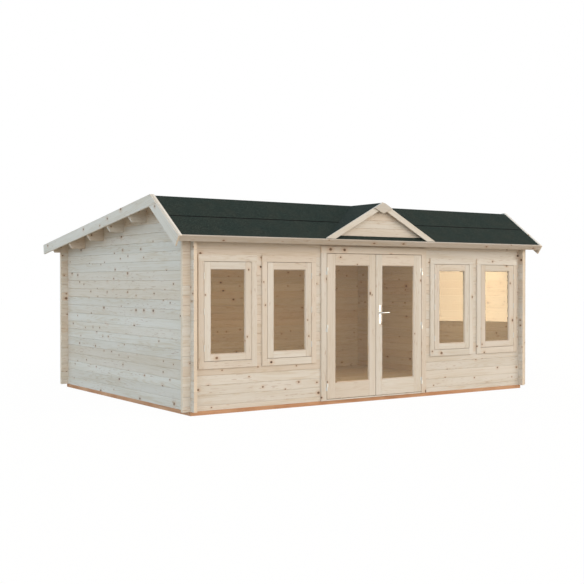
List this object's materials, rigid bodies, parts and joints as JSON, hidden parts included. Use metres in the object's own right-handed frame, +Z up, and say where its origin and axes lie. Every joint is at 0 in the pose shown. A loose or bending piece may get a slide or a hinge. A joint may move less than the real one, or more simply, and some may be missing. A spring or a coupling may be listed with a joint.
{
  "type": "garden house",
  "caption": "Log-built garden house with glazed double door, flanking casement windows, steep front and shallow rear roof slope and a small gablet over the door.",
  "frame": {"origin": "on the ground under the middle of the base, at the underside of the middle floor joist", "axes": "+X to the right along the front, the front with the doors faces -Y, +Z up"},
  "size_m": [5.796, 4.2182, 2.5262],
  "materials": {
    "log_wood": "planed bare spruce, matte",
    "roof_wood": "planed bare spruce boards, matte",
    "trim_wood": "planed bare spruce, matte",
    "joinery_wood": "sanded bare spruce, matte",
    "treated_timber": "pressure-treated pine, matte",
    "roofing_felt": "mineral-faced bitumen felt, matte",
    "glass": "clear float glass",
    "hinge_metal": "zinc-plated steel, satin",
    "lock_metal": "satin steel"
  },
  "bodies": {
    "house": {"left_gable_wall": "log_wood", "right_gable_wall": "log_wood", "front_wall_below_windows": "log_wood", "front_wall_piers": "log_wood", "front_wall_over_windows": "log_wood", "front_wall_top": "log_wood", "rear_wall": "log_wood", "rear_wall_top_log": "log_wood", "ridge_purlin": "roof_wood", "roof_purlins": "roof_wood", "roof_boards_front": "roof_wood", "roof_boards_rear": "roof_wood", "gablet_roof_left": "roof_wood", "gablet_roof_right": "roof_wood", "floor_boards": "roof_wood", "barge_boards_front": "trim_wood", "barge_boards_rear": "trim_wood", "verge_strips_front": "trim_wood", "verge_strips_rear": "trim_wood", "fascia_front": "trim_wood", "fascia_rear": "trim_wood", "gablet_barge_left": "trim_wood", "gablet_barge_right": "trim_wood", "gablet_diamond": "trim_wood", "gablet_boards": "trim_wood", "door_jambs": "joinery_wood", "door_head": "joinery_wood", "door_threshold": "joinery_wood", "door_side_casings": "joinery_wood", "door_head_casings": "joinery_wood", "window_frames": "joinery_wood", "window_sashes": "joinery_wood", "base_beams": "treated_timber", "base_joists": "treated_timber", "felt_front": "roofing_felt", "felt_rear": "roofing_felt", "gablet_felt": "roofing_felt", "window_glass": "glass", "frame_hinges": "hinge_metal"},
    "door_left": {"door_leaf_left": "joinery_wood", "door_glass_left": "glass", "leaf_hinges_left": "hinge_metal"},
    "door_right": {"door_leaf_right": "joinery_wood", "door_glass_right": "glass", "leaf_hinges_right": "hinge_metal", "lock_plates": "lock_metal"},
    "lever": {"door_lever": "lock_metal"}
  },
  "joints": [
    {"name": "door_left_hinge", "type": "hinge", "parent": "house", "child": "door_left", "pos_m": [-0.7675, -1.906, 0], "axis": [0, 0, -1], "range_deg": [0, 110]},
    {"name": "door_right_hinge", "type": "hinge", "parent": "house", "child": "door_right", "pos_m": [0.7675, -1.906, 0], "axis": [0, 0, 1], "range_deg": [0, 110]},
    {"name": "lever_turn", "type": "hinge", "parent": "door_right", "child": "lever", "pos_m": [0.0655, -1.88, 1.12], "axis": [0, 1, 0], "range_deg": [0, 40], "stiffness_Nm_per_rad": 1.5, "springref_deg": -28.65}
  ]
}
